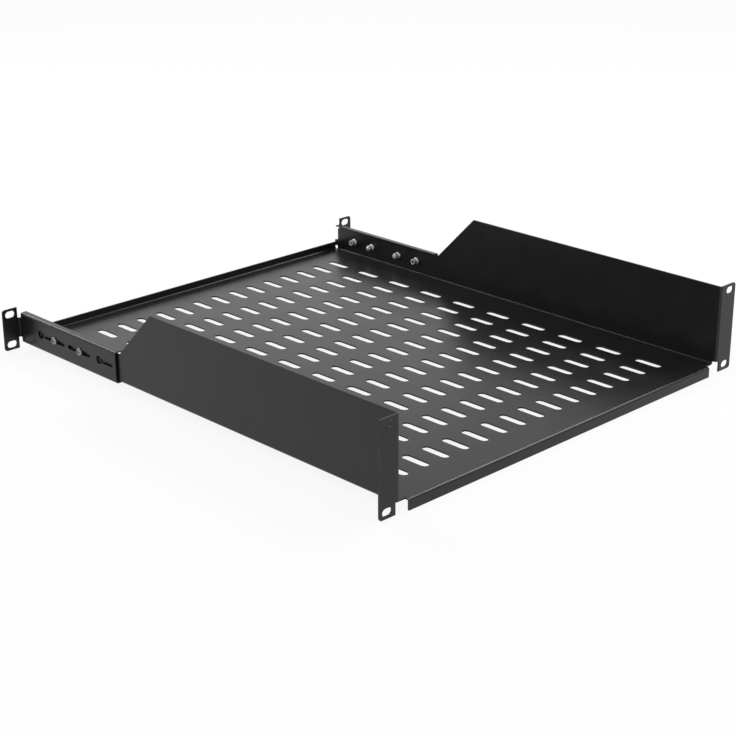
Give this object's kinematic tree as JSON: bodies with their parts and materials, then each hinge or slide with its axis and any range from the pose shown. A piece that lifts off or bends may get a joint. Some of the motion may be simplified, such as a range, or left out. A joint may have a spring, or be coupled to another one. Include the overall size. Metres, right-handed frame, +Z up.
{
  "type": "rack shelf",
  "caption": "Black vented steel rack shelf: a folded tray with slotted floor and front ears, and two slotted rear brackets that slide to suit the depth of the rack.",
  "frame": {"origin": "centre of the front hole pattern, on the back face of the front ears", "axes": "+X across the rack to the right seen from the front, +Y to the rear of the rack, +Z up"},
  "size_m": [0.4826, 0.5415, 0.0896],
  "materials": {
    "black_powder_coat": "satin",
    "zinc_plate": "satin"
  },
  "bodies": {
    "shelf": {"tray": "black_powder_coat", "rivet_nuts": "zinc_plate", "bracket_screws": "zinc_plate"},
    "left_bracket": {"left_rear_bracket": "black_powder_coat"},
    "right_bracket": {"right_rear_bracket": "black_powder_coat"}
  },
  "joints": [
    {"name": "left_bracket_slide", "type": "slide", "parent": "shelf", "child": "left_bracket", "axis": [0, 1, 0], "range_m": [-0.0035, 0.015]},
    {"name": "right_bracket_slide", "type": "slide", "parent": "shelf", "child": "right_bracket", "axis": [0, 1, 0], "range_m": [-0.0035, 0.015]}
  ]
}
